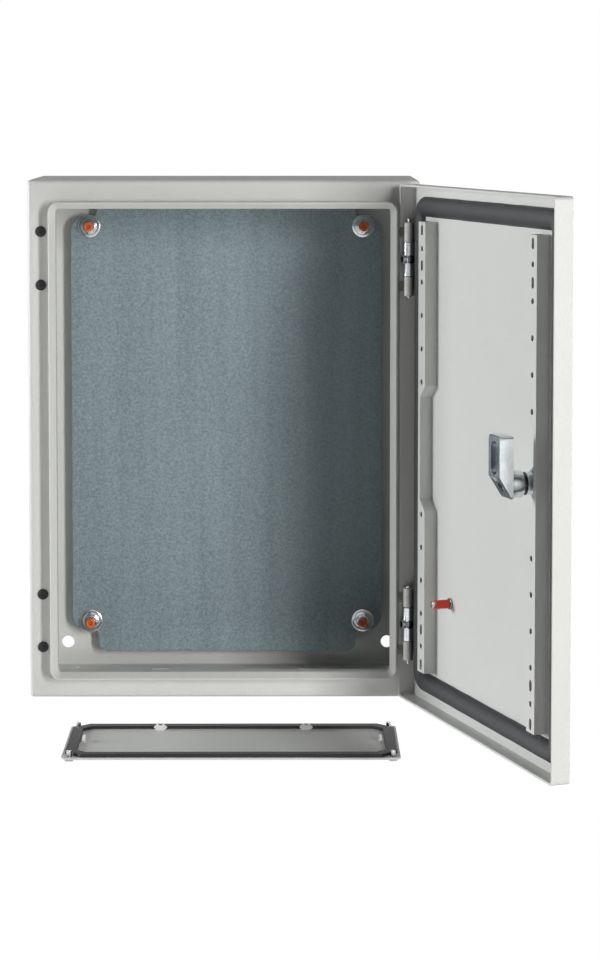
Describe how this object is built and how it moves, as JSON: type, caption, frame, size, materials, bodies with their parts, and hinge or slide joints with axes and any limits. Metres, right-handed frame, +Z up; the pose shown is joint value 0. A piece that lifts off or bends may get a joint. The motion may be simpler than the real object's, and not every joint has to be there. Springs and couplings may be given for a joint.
{
  "type": "steel wall enclosure",
  "caption": "Wall-mounted sheet steel enclosure with a hinged sealed door, cam lock, galvanised mounting plate and a loose cable gland plate below.",
  "frame": {"origin": "centre of the four wall holes, on the outer face of the rear wall", "axes": "+X towards the hinge side, +Y into the wall, +Z up"},
  "size_m": [0.3877, 0.4107, 0.452],
  "materials": {
    "grey_powder_coat": "satin textured powder coat",
    "galvanised_sheet": "dull blue-grey zinc with fine mottling",
    "bright_zinc": "bright zinc plating",
    "matt_cast_zinc": "matt cast zinc",
    "foamed_seal": "matt foamed polyurethane",
    "flat_rubber": "matt rubber",
    "black_plastic": "semi-matt moulded plastic",
    "orange_plastic": "moulded plastic",
    "red_plastic": "moulded plastic",
    "white_plastic": "moulded plastic"
  },
  "bodies": {
    "enclosure": {"body_shell": "grey_powder_coat", "rear_wall": "grey_powder_coat", "mounting_plate": "galvanised_sheet", "plate_studs": "bright_zinc", "plate_washers": "bright_zinc", "plate_nuts": "bright_zinc", "stud_caps": "orange_plastic", "hole_plugs": "black_plastic", "upper_hinge_knuckles": "matt_cast_zinc", "lower_hinge_knuckles": "matt_cast_zinc", "hinge_nuts": "bright_zinc", "upper_hinge_pin": "bright_zinc", "lower_hinge_pin": "bright_zinc"},
    "door": {"door_panel": "grey_powder_coat", "door_seal": "foamed_seal", "hinge_side_strip": "grey_powder_coat", "lock_side_strip": "grey_powder_coat", "upper_hinge_bracket": "bright_zinc", "lower_hinge_bracket": "bright_zinc", "bracket_screws": "bright_zinc", "door_earth_stud": "bright_zinc", "earth_stud_cap": "red_plastic", "lock_housing": "bright_zinc", "lock_nut": "matt_cast_zinc"},
    "lock": {"lock_core": "matt_cast_zinc", "lock_cam": "bright_zinc", "cam_screw": "matt_cast_zinc"},
    "gland": {"gland_plate": "grey_powder_coat", "gland_seal": "flat_rubber", "gland_clips": "white_plastic", "gland_screws": "bright_zinc"}
  },
  "joints": [
    {"name": "door_swing", "type": "hinge", "parent": "enclosure", "child": "door", "pos_m": [0.1414, -0.1347, 0], "axis": [0, 0, 1], "range_deg": [-108, 12]},
    {"name": "lock_turn", "type": "hinge", "parent": "door", "child": "lock", "pos_m": [0.1934, -0.36721, 0], "axis": [0.9511, 0.309, 0], "range_deg": [0, 90]},
    {"name": "gland_lift", "type": "slide", "parent": "enclosure", "child": "gland", "axis": [0, 0, 1], "range_m": [0, 0.0457]}
  ]
}
